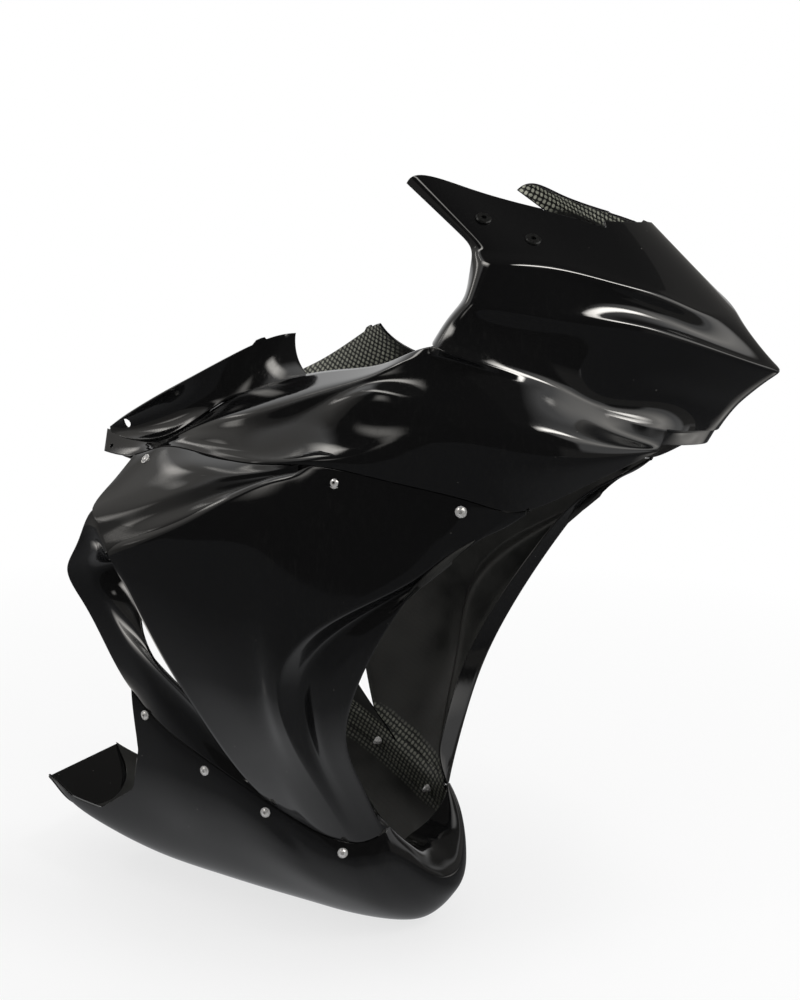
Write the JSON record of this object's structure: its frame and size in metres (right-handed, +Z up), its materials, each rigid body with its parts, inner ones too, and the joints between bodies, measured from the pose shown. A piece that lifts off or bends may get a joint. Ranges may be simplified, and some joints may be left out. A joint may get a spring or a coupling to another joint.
{
  "type": "motorcycle fairing",
  "caption": "Full race fairing of moulded glossy black panels: nosed upper with arms, side panels with scoops and a closed belly pan, screwed together along lapped seams.",
  "frame": {"origin": "on the centre plane, on the axis through the rear fixing holes of the two arms", "axes": "+X forward to the nose, +Y to the rider's left along the rear fixing axis, +Z up"},
  "size_m": [0.926, 0.4892, 0.8804],
  "materials": {
    "laminate": "glossy black gelcoat outside, dark woven cloth inside",
    "steel": "bright",
    "rubber": "matt",
    "brass": "plain"
  },
  "bodies": {
    "root": {"upper_fairing": "laminate", "left_side_panel": "laminate", "right_side_panel": "laminate", "belly_pan": "laminate", "left_upper_screws": "steel", "right_upper_screws": "steel", "left_upper_washers": "steel", "right_upper_washers": "steel", "left_upper_nuts": "steel", "right_upper_nuts": "steel", "left_belly_screws": "steel", "right_belly_screws": "steel", "left_belly_washers": "steel", "right_belly_washers": "steel", "left_belly_nuts": "steel", "right_belly_nuts": "steel", "left_screen_well_nuts": "rubber", "right_screen_well_nuts": "rubber", "left_screen_inserts": "brass", "right_screen_inserts": "brass"}
  },
  "joints": []
}
